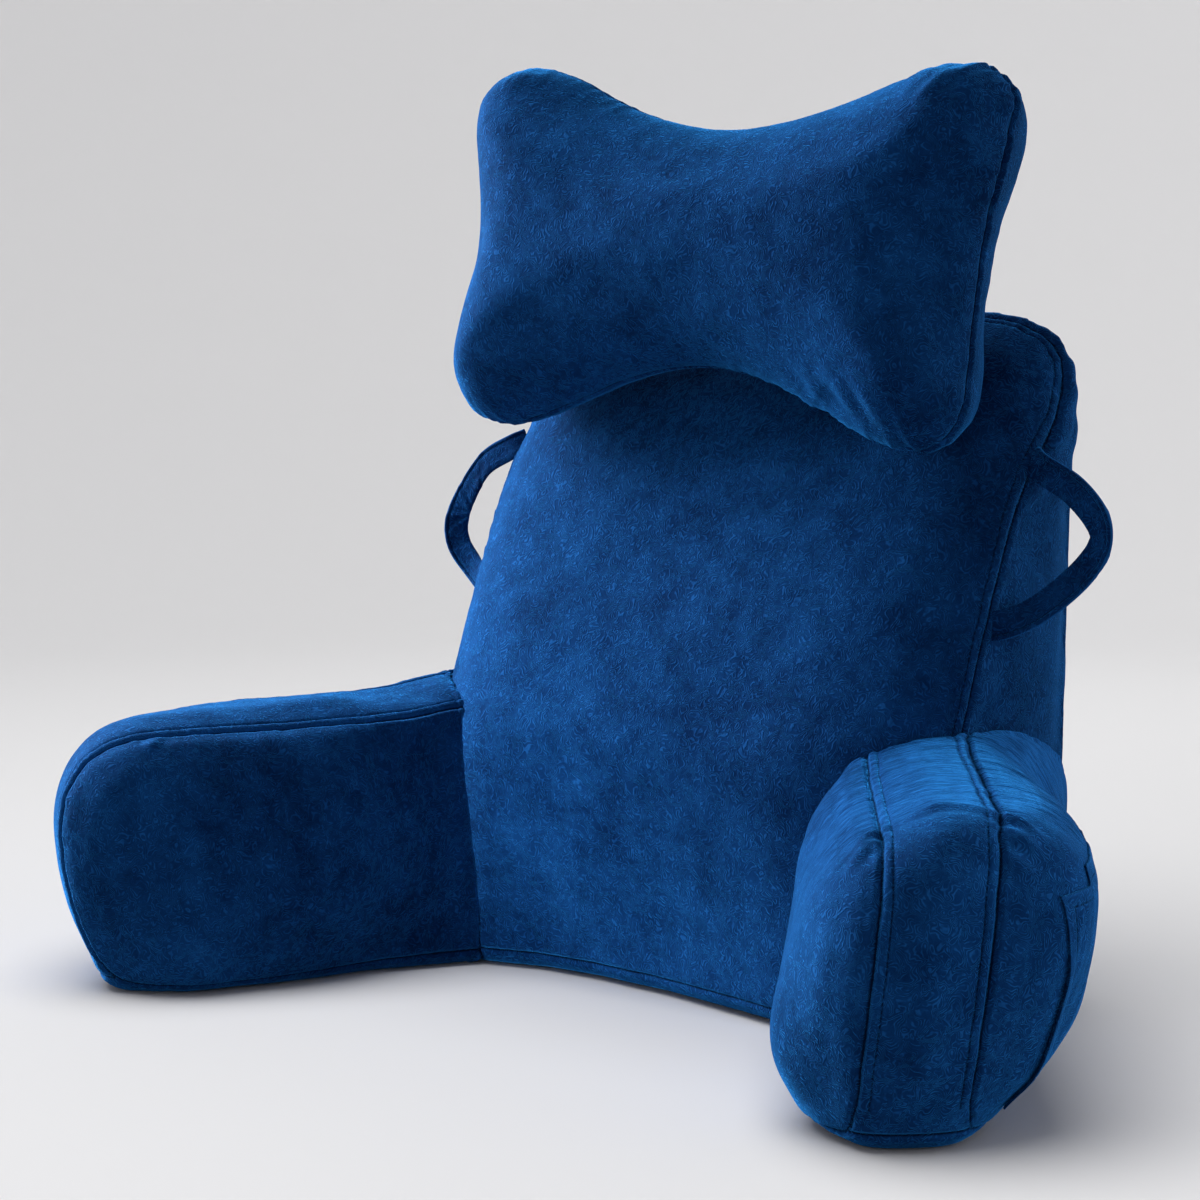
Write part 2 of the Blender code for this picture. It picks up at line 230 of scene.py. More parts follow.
# Seams
seamStyle = {
    "crease": 0.0014,      # depth of the crease along a seam
    "creaseWidth": 0.0017,
    "band": 0.0009,        # how far the folded edge beside a seam stands up
    "stitchAt": 0.0082,    # from the seam to its row of stitches
    "stitchDip": 0.0008,
    "pitch": 0.005,        # from one stitch to the next
    "otherRise": 0.0005,   # a small rise on the seam's other side
    "folds": (62.0, 150.0, 38.0),    # closeness of the gathers, of their fine folds, of their changes
    "spacing": 0.0015,     # between the points that stand for a seam
    "reach": 0.09,         # how far into a panel a seam is still felt
    "apart": 7.0,          # added to the length along each next seam, so that no two are alike
}


def makeSeam(points, stitchedSide, otherSide, closed=False, stitched=True, gather=(0.0, 0.01, 0.0)):
    # points along the seam, each with the direction of its stitched side and of its other side
    # gather says how the cloth is drawn in at a point: height, reach and lean of its folds
    dense, toStitched, toOther, arc = [], [], [], []
    count = len(points) if closed else len(points) - 1
    run = 0.0
    for k in range(count):
        n = (k + 1) % len(points)
        leg = (points[n] - points[k]).length
        steps = max(int(leg / seamStyle["spacing"]), 1)
        for j in range(steps):
            t = j / steps
            dense.append(points[k].lerp(points[n], t))
            toStitched.append(stitchedSide[k].lerp(stitchedSide[n], t).normalized())
            toOther.append(otherSide[k].lerp(otherSide[n], t).normalized())
            arc.append(run + leg * t)
        run += leg
    tree = KDTree(len(dense))
    for k, p in enumerate(dense):
        tree.insert(p, k)
    tree.balance()
    gathers = [gather(p) if callable(gather) else gather for p in dense]
    return {"to": toStitched, "away": toOther, "arc": arc, "tree": tree,
            "stitched": stitched, "gather": gathers}


def seamAlong(indices, edge, stitchedSide, otherSide, **facts):
    return makeSeam(*([line[k] for k in indices] for line in (edge, stitchedSide, otherSide)), **facts)


def seamField(points, seams):
    # for each point: the gap to the nearest seam, positive on its stitched side, the length along
    # that seam, whether it is top-stitched, and the height, reach and lean of its gathers
    count = len(points)
    gap, run, sewn = np.full(count, 1.0), np.zeros(count), np.zeros(count)
    gather = np.zeros((count, 3))
    gather[:, 1] = 0.01
    for number, seam in enumerate(seams):
        for i, p in enumerate(points):
            near, k, far = seam["tree"].find(p)
            if far > seamStyle["reach"] or far >= abs(gap[i]) + 0.004:
                continue
            to, away = seam["to"][k], seam["away"][k]
            side = (Vector(p) - near).dot((to - away).normalized())
            value = math.copysign(far, side)
            if far < 0.012:
                across = (to - away).normalized()
                value = side / max(to.dot(across) if side > 0 else -away.dot(across), 0.3)
            if abs(value) < abs(gap[i]):
                gap[i], run[i] = value, seam["arc"][k] + number * seamStyle["apart"]
                sewn[i], gather[i] = seam["stitched"], seam["gather"][k]
    return {"gap": gap, "run": run, "sewn": sewn, "gather": gather}


def evenOut(mesh, values, times):
    # averages a value with its neighbours', so that a thick padded cover keeps no small creases
    ends = np.empty(len(mesh.edges) * 2, dtype=np.int64)
    mesh.edges.foreach_get("vertices", ends)
    one, two = ends.reshape(-1, 2).T
    share = 1.0 / (1 + np.bincount(ends, minlength=len(values)))
    for _ in range(times):
        total = values.copy()
        np.add.at(total, one, values[two])
        np.add.at(total, two, values[one])
        values = total * share[:, None]
    return values


# Padding
cushionCloth = {
    "quality": 4, "mass": 0.25, "tension_stiffness": 12, "compression_stiffness": 12, "shear_stiffness": 4,
    "bending_stiffness": 0.25, "shrink_min": -0.035, "use_pressure": True,
}


def inflate(piece, held, pressure, swell, steps=16):
    # inflates a closed piece as cloth, held at its seams, and lets no point move further than swell
    start = getPoints(piece.data)
    start -= getNormals(piece.data) * ((1 - held) * swell * 0.5)[:, None]
    setPoints(piece.data, start)
    group = piece.vertex_groups.new(name="held")
    for i, weight in enumerate(held):
        if weight > 0.01:
            group.add([i], float(weight), "REPLACE")
    cloth = piece.modifiers.new("cloth", "CLOTH")
    for key, value in cushionCloth.items():
        setattr(cloth.settings, key, value)
    cloth.settings.vertex_group_mass = group.name
    cloth.settings.uniform_pressure_force = pressure
    cloth.settings.effector_weights.gravity = 0
    cloth.collision_settings.use_collision = False
    cloth.point_cache.frame_start, cloth.point_cache.frame_end = 1, steps
    scene = bpy.context.scene
    for step in range(1, steps + 1):
        scene.frame_set(step)
    result = getPoints(piece.evaluated_get(bpy.context.evaluated_depsgraph_get()).data)
    piece.modifiers.remove(cloth)
    piece.vertex_groups.clear()
    scene.frame_set(1)
    move = result - start
    size = np.linalg.norm(move, axis=1, keepdims=True)
    move = evenOut(piece.data, move * (swell / np.maximum(size, swell)), 10)
    setPoints(piece.data, start + move)


def refineNearSeams(piece, gap, within):
    # smaller squares beside the seams, for the crease and the stitches
    bm = bmesh.new()
    bm.from_mesh(piece.data)
    bm.verts.ensure_lookup_table()
    close = [f for f in bm.faces if min(abs(gap[v.index]) for v in f.verts) < within]
    edges = list({e for f in close for e in f.edges})
    bmesh.ops.subdivide_edges(bm, edges=edges, cuts=1, use_grid_fill=True)
    bmesh.ops.triangulate(bm, faces=[f for f in bm.faces if len(f.verts) > 4])
    bm.to_mesh(piece.data)
    bm.free()


def lineNoise(values, scale, row):
    return np.array([noise.noise((v * scale, row, 0.3)) for v in values])


def seamRelief(field):
    # the crease, the folded edge beside it and the row of stitches
    style, gap, sewn, gathered = seamStyle, field["gap"], field["sewn"], field["gather"][:, 0]
    row = style["stitchAt"]
    band = easeAll(0.0008, 0.0026, gap) * (1 - easeAll(row - 0.0015, row + 0.0005, gap))
    relief = -(style["crease"] + 0.5 * gathered) * bellAll(gap, 0.0, style["creaseWidth"] + 0.3 * gathered)
    relief += style["band"] * band * sewn
    relief -= style["stitchDip"] * bellAll(gap, row, 0.0012) * sewn
    return relief + style["otherRise"] * bellAll(gap, -0.0040, 0.0025)


def gatherRelief(field, row, sides):
    # folds that start at the seam and die out in the panel: narrow ridges between softer hollows
    gap, (height, reach, lean) = field["gap"], field["gather"].T
    ridges, creases, change = seamStyle["folds"]
    along = field["run"] + lean * np.abs(gap)
    sharp = 1 - np.abs(2.4 * lineNoise(along, ridges, row))
    fine = lineNoise(along, creases, row + 4)
    length = reach * (0.65 + 1.1 * np.clip(lineNoise(field["run"], change, row + 9) + 0.25, 0, 1))
    fade = np.exp(-np.abs(gap) / np.maximum(length, 0.003)) * easeAll(0.0, 0.0035, np.abs(gap))
    return height * (0.75 * sharp + 0.5 * fine - 0.35) * fade * np.where(gap > 0, *sides)


def foldRelief(points, path, height, width):
    # a soft ridge along a path, with a hollow beside it, fading at both ends
    spots = evenly(smoothLine([Vector(p) for p in path], 8), 40)
    ends = np.sin(np.linspace(0.12, math.pi - 0.12, 40))
    best, gain = np.full(len(points), 1.0), np.zeros(len(points))
    for spot, share in zip(spots, ends):
        far = np.linalg.norm(points - np.array(spot), axis=1)
        gain = np.where(far < best, share, gain)
        best = np.minimum(best, far)
    return height * gain * (bellAll(best, 0.0, width) - 0.45 * bellAll(best, 1.9 * width, width))


def unevenFilling(points, field, height, scale, within):
    # the soft unevenness of a filled panel, away from its seams
    return height * noiseAt(points, scale) * easeAll(0.004, within, np.abs(field["gap"]))


def finishPiece(piece, node):
    piece.data.shade_smooth()
    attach(piece, "root")
    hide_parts(node)


def dressCushion(piece, seams, style, extra, row=0.0, against=None, floor=True):
    # remeshed to even squares, inflated, refined, then given its seams, gathers and folds
    # extra gives the piece's own folds, row sets its gathers apart, against is the cushion it is sewn to
    applyModifier(piece, "REMESH", mode="VOXEL", voxel_size=style["voxel"])
    applyModifier(piece, "SMOOTH", factor=0.5, iterations=3)
    points = getPoints(piece.data)
    lowest = 0.002 if floor else -1.0
    held = 1 - easeAll(0.006, 0.030, np.abs(seamField(points, seams)["gap"]))
    held = np.maximum(held, 1 - easeAll(lowest, lowest + 0.010, points[:, 2]))
    if against is not None:
        reach = np.array([against.find_nearest(p, 0.04)[3] or 0.04 for p in points])
        held = np.maximum(held, 1 - easeAll(0.008, 0.030, reach))
    softer = evenOut(piece.data, points, style["rounding"]) - points
    softer -= evenOut(piece.data, softer, style["rounding"])    # rounds ridges and keeps the fullness
    setPoints(piece.data, points + softer * (1 - held)[:, None])
    inflate(piece, held, style["pressure"], style["swell"])
    applyModifier(piece, "SUBSURF", levels=1, render_levels=1)
    refineNearSeams(piece, seamField(getPoints(piece.data), seams)["gap"], 0.012)
    points = getPoints(piece.data)
    field = seamField(points, seams)
    wave = lineNoise(field["run"], 48.0, row + 20)      # a gathered seam isn't straight
    field["gap"] += wave * np.minimum(field["gather"][:, 0] * 0.7, 0.0018)
    relief = seamRelief(field) + gatherRelief(field, row, style["gatherSides"]) + extra(points, field)
    points += getNormals(piece.data) * relief[:, None]
    if floor:
        points[:, 2] = np.maximum(points[:, 2], 0.0002)
    setPoints(piece.data, points)
    setSeams(piece.data, field["gap"], field["run"], field["sewn"])
    print(piece.name, len(piece.data.vertices), "points")


# Back cushion
backCushion = {
    "halfWidth": 0.244, "height": 0.524, "shoulder": 0.513, "topRadius": 0.07,
    "seamLift": 0.014, "rearY": 0.106, "rearInset": 0.008, "rearCrown": 0.024,
    "frontReach": 0.125, "bandCrown": 0.009, "topCrown": 0.013,
    "profile": (  # height, y of the side seam, crown of the front panel
        (0.0, -0.072, 0.03), (0.1, -0.074, 0.042), (0.2, -0.064, 0.05), (0.28, -0.032, 0.048),
        (0.36, 0.003, 0.042), (0.395, 0.024, 0.044), (0.43, 0.056, 0.059), (0.46, 0.078, 0.069),
        (0.49, 0.092, 0.068), (0.53, 0.096, 0.052)),
    "foot": (  # x, y of the front panel's bottom seam
        (-0.25, -0.08), (-0.19, -0.098), (-0.13, -0.082), (-0.08, -0.081), (0.0, -0.09),
        (0.084, -0.109), (0.13, -0.121), (0.19, -0.118), (0.25, -0.085)),
    "folds": (  # points along a fold of the side band, its height and width
        (((0.222, 0.052, 0.5), (0.23, 0.066, 0.499), (0.236, 0.078, 0.492)), -0.0036, 0.005),
        (((0.234, 0.054, 0.486), (0.241, 0.066, 0.48), (0.245, 0.078, 0.472)), -0.0034, 0.005),
        (((0.24, 0.046, 0.464), (0.246, 0.058, 0.458), (0.249, 0.07, 0.45)), -0.003, 0.005),
        (((0.208, 0.06, 0.511), (0.213, 0.072, 0.514), (0.215, 0.084, 0.513)), -0.0022, 0.005)),
    "dents": 0.004,                   # depth of the dents across the side band
    "filling": (0.0022, 9, 0.04),     # height, scale and reach of the filling's unevenness
    "rounding": 24,                   # passes that even out the padded shape
    "gatherSides": (1.0, 0.12),       # share of the gathers on the stitched side and on the other
    "voxel": 0.006, "pressure": 3.0, "swell": 0.0035, "fill": 0.75,
}


def backOutline(count):
    shape = backCushion
    low, side = shape["seamLift"], shape["halfWidth"]
    shoulder, radius = shape["shoulder"], shape["topRadius"]
    corners = ((-side + 0.006, low, 0.010), (side - 0.006, low, 0.010), (side, shoulder, radius),
               (0.0, shape["height"], 1.0), (-side, shoulder, radius))
    return roundedOutline(corners, count)


def frontY(x, z, depth):
    shape = backCushion
    seam, crown = (tableValue(shape["profile"], z, column) for column in (1, 2))
    full, upper = seam - crown * puff(depth, shape["frontReach"]), ease(0.0, 0.19, z)
    return tableValue(shape["foot"], x, 1) * (1 - upper) + full * upper


def makeBack():
    shape = backCushion
    outline = backOutline(150)
    count = len(outline)
    middle = Vector((0.0, shape["height"] / 2))

    def frontPoint(flat):
        return Vector((flat.x, frontY(flat.x, flat.y, distanceTo(outline, flat)), flat.y))

    def rearPoint(flat):
        shrunk = middle + (flat - middle) * (1 - shape["rearInset"] / shape["halfWidth"])
        y = shape["rearY"] + shape["rearCrown"] * puff(distanceTo(outline, flat), shape["frontReach"])
        return Vector((shrunk.x, y, max(shrunk.y, shape["seamLift"])))

    frontEdge, rearEdge = [frontPoint(p) for p in outline], [rearPoint(p) for p in outline]

    def bandPoint(k, t):
        along = (outline[(k + 1) % count] - outline[k - 1]).normalized()
        out = Vector((along.y, -along.x))
        point = frontEdge[k].lerp(rearEdge[k], t)
        arch = 1 - abs(2 * t - 1) ** 2.4
        up = ease(0.2, 0.9, out.y)
        crown = shape["bandCrown"] * (1 - up) + shape["topCrown"] * up
        if out.y < -0.5:
            point.z = shape["seamLift"] * abs(2 * t - 1) ** 20
        else:
            point += Vector((out.x, 0, out.y)) * crown * arch
        return point

    ratios = ringRatios(16)
    rings = [[frontPoint(middle + (p - middle) * r) for p in outline] for r in reversed(ratios)] + [frontEdge]
    for t in (0.01, 0.03, 0.06, 0.12, 0.25, 0.4, 0.6, 0.75, 0.88, 0.94, 0.97, 0.99):
        rings.append([bandPoint(k, t) for k in range(count)])
    rings += [rearEdge] + [[rearPoint(middle + (p - middle) * r) for p in outline] for r in ratios]
    piece = skinRings("backCushionCover", rings, frontPoint(middle), rearPoint(middle))

    near = [middle + (p - middle) * 0.97 for p in outline]
    inFront = towards([frontPoint(p) for p in near], frontEdge)
    inBand = towards([bandPoint(k, 0.05) for k in range(count)], frontEdge)
    inRear = towards([rearPoint(p) for p in near], rearEdge)
    fromRear = towards([bandPoint(k, 0.95) for k in range(count)], rearEdge)
    around = inOrder([k for k in range(count) if outline[k].y > 0.03], count)
    under = [(around[-1] + j) % count for j in range(count - len(around) + 2)]

    def frontGather(p):
        corner = ease(0.40, 0.47, p.z) * ease(0.12, 0.20, abs(p.x))
        return (0.0011 + 0.0017 * corner, 0.014 + 0.014 * corner, 0.3 * corner)

    seams = [seamAlong(around, frontEdge, inFront, inBand, gather=frontGather),
             seamAlong(under, frontEdge, inFront, inBand, stitched=False, gather=(0.0005, 0.01, 0.0)),
             seamAlong(around, rearEdge, inRear, fromRear, stitched=False, gather=(0.0006, 0.014, 0.0))]
    return piece, seams


def backRelief(points, field):
    # dents across the side band beside its front seam, its folds and the uneven filling
    shape, gap = backCushion, field["gap"]
    band = easeAll(0.002, 0.008, -gap) * (1 - easeAll(0.012, 0.030, -gap)) * (np.abs(points[:, 0]) > 0.2)
    dents = lineNoise(points[:, 2] - 0.35 * np.abs(gap), 52.0, 3.0)
    folds = sum(foldRelief(points * (side, 1, 1), *fold) for fold in shape["folds"] for side in (-1, 1))
    return shape["dents"] * dents * band + unevenFilling(points, field, *shape["filling"]) + folds


# Arms. s runs along an arm from the back, w across it from the inner to the outer side, z up.
# Where left and right differ, -1 is the left arm and 1 the right one.
armCushion = {
    "root": (0.201, -0.095), "splay": 34.5, "lean": 6.0,
    "seam": (  # s along the arm, z of the inner panel's seam
        (-0.185, 0.06), (-0.185, 0.18), (-0.16, 0.204), (-0.08, 0.21), (0.0, 0.207), (0.048, 0.202),
        (0.145, 0.197), (0.241, 0.195), (0.272, 0.19), (0.293, 0.179), (0.306, 0.163), (0.314, 0.142),
        (0.315, 0.111), (0.309, 0.076), (0.3, 0.046), (0.288, 0.024), (0.268, 0.01), (0.223, 0.008),
        (0.12, 0.01), (0.0, 0.013), (-0.16, 0.014), (-0.185, 0.024)),
    "plan": (  # s, w of the strip's inner and outer seams, w of the inner and outer foot seams
        (-0.125, -0.036, 0.058, -0.018, 0.07), (0.0, -0.035, 0.036, -0.018, 0.066),
        (0.08, -0.034, 0.038, -0.024, 0.067), (0.15, -0.032, 0.041, -0.046, 0.067),
        (0.225, -0.031, 0.043, -0.057, 0.064), (0.25, -0.03, 0.044, -0.047, 0.058),
        (0.274, -0.029, 0.044, -0.032, 0.047), (0.295, -0.029, 0.044, -0.029, 0.044)),
    "tuck": 0.004, "middle": (0.064, 0.106),
    "folds": {  # points along a fold as s, w, z, its height and width
        1: ((((0.236, -0.008, 0.206), (0.24, 0.012, 0.214), (0.238, 0.034, 0.218), (0.24, 0.056, 0.214)),
             0.0026, 0.006),
            (((0.236, -0.004, 0.199), (0.243, -0.016, 0.196), (0.262, -0.028, 0.188)), 0.0036, 0.006),
            (((0.252, -0.008, 0.192), (0.264, -0.02, 0.187), (0.28, -0.03, 0.176)), 0.0028, 0.005),
            (((0.238, 0.058, 0.212), (0.252, 0.076, 0.208), (0.268, 0.092, 0.197)), 0.0042, 0.006),
            (((0.256, 0.06, 0.206), (0.266, 0.074, 0.202), (0.276, 0.088, 0.192)), 0.0034, 0.005),
            (((0.276, 0.06, 0.19), (0.284, 0.074, 0.186), (0.29, 0.086, 0.178)), 0.0016, 0.006)),
        -1: ((((0.24, -0.006, 0.204), (0.246, -0.018, 0.198), (0.256, -0.028, 0.188)), 0.0016, 0.005),
             (((0.236, 0.06, 0.212), (0.25, 0.078, 0.206), (0.262, 0.092, 0.196)), 0.0024, 0.006),
             (((0.262, 0.058, 0.202), (0.272, 0.074, 0.196), (0.28, 0.088, 0.186)), 0.0018, 0.005))},
    "outerRise": 1.07, "outerSetback": 0.014, "stripCrown": 0.012, "endCrown": 0.008,
    "innerCrown": 0.045, "outerCrown": 0.067, "reach": 0.09, "lift": 0.16,
    "outerFullness": (0.73, 0.38, 0.24),    # at the foot, more towards the top, more at the shoulder
    "shoulder": {-1: 0.0, 1: 1.0},    # how early the inner panel swells beside the back, left and right
    "sweep": {-1: 0.008, 1: 0.0},     # how far the top sweeps up to the back
    "droop": {-1: 0.65, 1: 0.0},      # how much the strip comes down towards its rounded end
    "longer": {-1: 0.004, 1: 0.0},    # how much further it reaches
    "brushed": {-1: 0.12, 1: 1.0},    # how far the pile on top is brushed round the arm
    "ripple": 0.001,                  # height of the small waves where the pile is brushed
    "axis": (0.025, 0.085),           # w and z that the brushed pile runs round
    "flow": (420, 9),                 # closeness of its strokes, along the arm and round it
    "filling": (0.0016, 14, 0.03), "rounding": 24, "gatherSides": (0.6, 1.0),
    "voxel": 0.0052, "pressure": 3.5, "swell": 0.0035, "fill": 0.8,
}


def armOutline(count):
    points = [Vector(p) for p in armCushion["seam"] + armCushion["seam"][:1]]
    return evenly(smoothLine(points, 6)[:-1], count, closed=True)


def armPanel(outline, side, s, z, mirror=1):
    # a point of the inner panel (side -1) or of the outer one (side 1)
    shape = armCushion
    top, foot = (tableValue(shape["plan"], s, column + (side > 0)) for column in (1, 3))
    half = foot + (top - foot) * ease(0.0, 0.135, z)
    depth = distanceTo(outline, Vector((s, z)))
    low = 1 - ease(0.03, 0.12, z) if side > 0 else 0.75 * (1 - ease(0.02, 0.10, z))
    tapered = math.sin(math.pi / 2 * min(depth / shape["reach"], 1))
    fullness = (1 - low) * puff(depth, shape["reach"]) + low * tapered
    lift = shape["lift"] * ease(0.08, 0.20, z)
    if side < 0:
        early = shape["shoulder"][mirror] * ease(0.09, 0.17, z)
        bulge = shape["innerCrown"] * fullness * ease(-0.01 - 0.07 * early, 0.14 - 0.08 * early, s)
    else:
        rear = ease(-0.03, 0.07, s) * (1 - ease(0.17, 0.27, s)) * ease(0.13, 0.17, z)
        base, upper, shoulder = shape["outerFullness"]
        bulge = shape["outerCrown"] * fullness * (base + upper * ease(0.0, 0.17, z) + shoulder * rear)
        lift *= ease(0.02, 0.14, s)
    droop = 1 - shape["droop"][mirror] * ease(0.16, 0.27, s)
    rise = 1 + (shape["outerRise"] - 1) * ease(0.02, 0.19, z) * droop if side > 0 else 1.0
    sweep = shape["sweep"][mirror] * (1 - ease(-0.015, 0.080, s)) * ease(0.13, 0.20, z)
    sweep *= 1.0 if side > 0 else 0.5
    along = s - (shape["outerSetback"] * ease(0.18, 0.31, s) if side > 0 else 0.0)
    along += shape["longer"][mirror] * ease(0.2, 0.3, s)
    across = half + side * bulge + z * math.tan(math.radians(shape["lean"]))
    return Vector((along, across, z * rise + lift * bulge + sweep))


def armToWorld(point, mirror):
    splay = math.radians(armCushion["splay"])
    s, w, z = point
    x = armCushion["root"][0] + math.sin(splay) * s + math.cos(splay) * w
    y = armCushion["root"][1] - math.cos(splay) * s + math.sin(splay) * w
    return Vector((x * mirror, y, z))


def worldToArm(points, mirror):
    splay = math.radians(armCushion["splay"])
    x, y = points[:, 0] * mirror - armCushion["root"][0], points[:, 1] - armCushion["root"][1]
    s, w = math.sin(splay) * x - math.cos(splay) * y, math.cos(splay) * x + math.sin(splay) * y
    return s, w, points[:, 2]


def makeArm(name, mirror, backPiece):
    shape = armCushion
    outline = armOutline(130)
    middle = Vector(shape["middle"])
    count = len(outline)
    inner = [armPanel(outline, -1, p.x, p.y, mirror) for p in outline]
    outer = [armPanel(outline, 1, p.x, p.y, mirror) for p in outline]

    def stripPoint(k, t):
        along = (outline[(k + 1) % count] - outline[k - 1]).normalized()
        out = Vector((-along.y, along.x))
        up = ease(0.2, 0.9, out.y)
        flat = 0.45 + 0.55 * ease(0.0, 0.10, inner[k].x)
        arch = (shape["stripCrown"] * up * flat + shape["endCrown"] * (1 - up)) * (1 - abs(2 * t - 1) ** 2.2)
        s, w, z = inner[k].lerp(outer[k], t) + Vector((out.x, 0.0, out.y)) * arch
        down = ease(0.5, 0.95, -out.y)
        z = z * (1 - down) + 0.009 * abs(2 * t - 1) ** 7 * down
        return Vector((s, w, max(z, 0.006 * ease(0.08, 0.12, -s))))

    def panelRing(side, r):
        return [armPanel(outline, side, *(middle + (p - middle) * r), mirror) for p in outline]

    ratios = ringRatios(12)
    rings = [panelRing(-1, r) for r in reversed(ratios)] + [inner]
    for t in (0.02, 0.06, 0.14, 0.3, 0.5, 0.7, 0.86, 0.94, 0.98):
        rings.append([stripPoint(k, t) for k in range(count)])
    rings += [outer] + [panelRing(1, r) for r in ratios]
    caps = [armToWorld(armPanel(outline, side, *middle, mirror), mirror) for side in (-1, 1)]
    piece = skinRings(name, [[armToWorld(p, mirror) for p in ring] for ring in rings], *caps)
    cutBy(piece, backPiece, shape["tuck"])

    above = [k for k, p in enumerate(outline) if p.x > -0.15 and (p.y >= 0.022 or p.x >= 0.30)]
    below = [k for k, p in enumerate(outline) if p.y < 0.026 and -0.03 < p.x < 0.31]
    around, under = inOrder(above, count), inOrder(below, count)
    seams = []
    for edge, side, t, height in ((inner, -1, 0.08, 0.0010), (outer, 1, 0.92, 0.0014)):
        near = panelRing(side, 0.96)
        world = [armToWorld(p, mirror) for p in edge]
        onStrip = towards([armToWorld(stripPoint(k, t), mirror) for k in range(count)], world)
        onPanel = towards([armToWorld(p, mirror) for p in near], world)
        seams.append(seamAlong(around, world, onStrip, onPanel, gather=(height, 0.012, 0.0)))
        seams.append(seamAlong(under, world, onPanel, onStrip, stitched=False, gather=(0.0006, 0.012, 0.0)))
    # the strip's own end, sewn to the bottom panel
    k = max(range(count), key=lambda j: outline[j].x - 9 * abs(outline[j].y - 0.018))
    line = [armToWorld(stripPoint(k, 0.04 + 0.92 * j / 12), mirror) for j in range(13)]
    line = [Vector((p.x, p.y, max(p.z, 0.013))) for p in line]
    seams.append(makeSeam(line, [Vector((0, 0, 1))] * 13, [Vector((0, 0, -1))] * 13, stitched=False))
    return piece, seams


def armRound(w, z):
    # angle round the arm's own axis, from 0 on top
    return np.arctan2(w - armCushion["axis"][0], z - armCushion["axis"][1])


def armTop(s, w, z):
    # 1 on the brushed top and shoulders, easing to 0 at the end and down the panels
    start = 0.120 + 0.035 * np.abs(armRound(w, z))
    return easeAll(start, start + 0.05, z) * (1 - easeAll(0.215, 0.262, s + 0.2 * np.maximum(w - 0.05, 0)))


def armRelief(mirror, backTree):
    def relief(points, field):
        shape = armCushion
        s, w, z = worldToArm(points, mirror)
        waves = zip(s, armRound(w, z))
        ripple = np.array([noise.noise((a * 95 + 3 * mirror, b * 1.6, 0.5)) for a, b in waves])
        folds = sum(foldRelief(np.stack([s, w, z], axis=1), *fold) for fold in shape["folds"][mirror])
        # sewn to the back: a narrow ridge and a shallow line run along the join
        join = np.array([backTree.find_nearest(p, 0.03)[3] or 0.03 for p in points])
        near = join < np.abs(field["gap"])
        ridge = 0.0009 * easeAll(0.0006, 0.0016, join) * (1 - easeAll(0.0038, 0.0050, join))
        line = -0.0007 * bellAll(join, 0.0056, 0.0010)
        field["gap"] = np.where(near, join, field["gap"])
        field["sewn"] = np.where(near, 0.0, field["sewn"])
        brushed = shape["ripple"] * ripple * armTop(s, w, z) * shape["brushed"][mirror]
        return brushed + unevenFilling(points, field, *shape["filling"]) + folds + ridge + line
    return relief


def setArmFlow(piece, mirror):
    # the direction of the brushed pile, and how much of it there is
    s, w, z = worldToArm(getPoints(piece.data), mirror)
    lengthwise, crosswise = armCushion["flow"]
    flow = np.stack([s * lengthwise, armRound(w, z) * crosswise, np.full(len(s), 3.0 * mirror)], axis=1)
    setAttribute(piece.data, "armFlow", flow, "FLOAT_VECTOR", "vector")
    setAttribute(piece.data, "armBrushed", armTop(s, w, z) * armCushion["brushed"][mirror])


def cutBy(piece, other, tuck):
    # cuts the piece where the other one stands, leaving it tucked in a little so that no gap shows
    cutter = addObject("cutter", other.data.copy())
    setPoints(cutter.data, getPoints(cutter.data) - getNormals(cutter.data) * tuck)
    applyModifier(piece, "BOOLEAN", operation="DIFFERENCE", solver="EXACT", object=cutter)
    bpy.data.objects.remove(cutter)
    dropLooseParts(piece)


def dropLooseParts(piece):
    bm = bmesh.new()
    bm.from_mesh(piece.data)
    bmesh.ops.remove_doubles(bm, verts=bm.verts, dist=1e-5)
    seen, parts = set(), []
    for start in bm.verts:
        if start in seen:
            continue
        seen.add(start)
        part = [start]
        for vertex in part:                 # the list grows while it is walked
            fresh = [edge.other_vert(vertex) for edge in vertex.link_edges]
            fresh = [other for other in fresh if other not in seen]
            seen.update(fresh)
            part.extend(fresh)
        parts.append(part)
    for part in sorted(parts, key=len)[:-1]:
        bmesh.ops.delete(bm, geom=part, context="VERTS")
    bm.to_mesh(piece.data)
    bm.free()


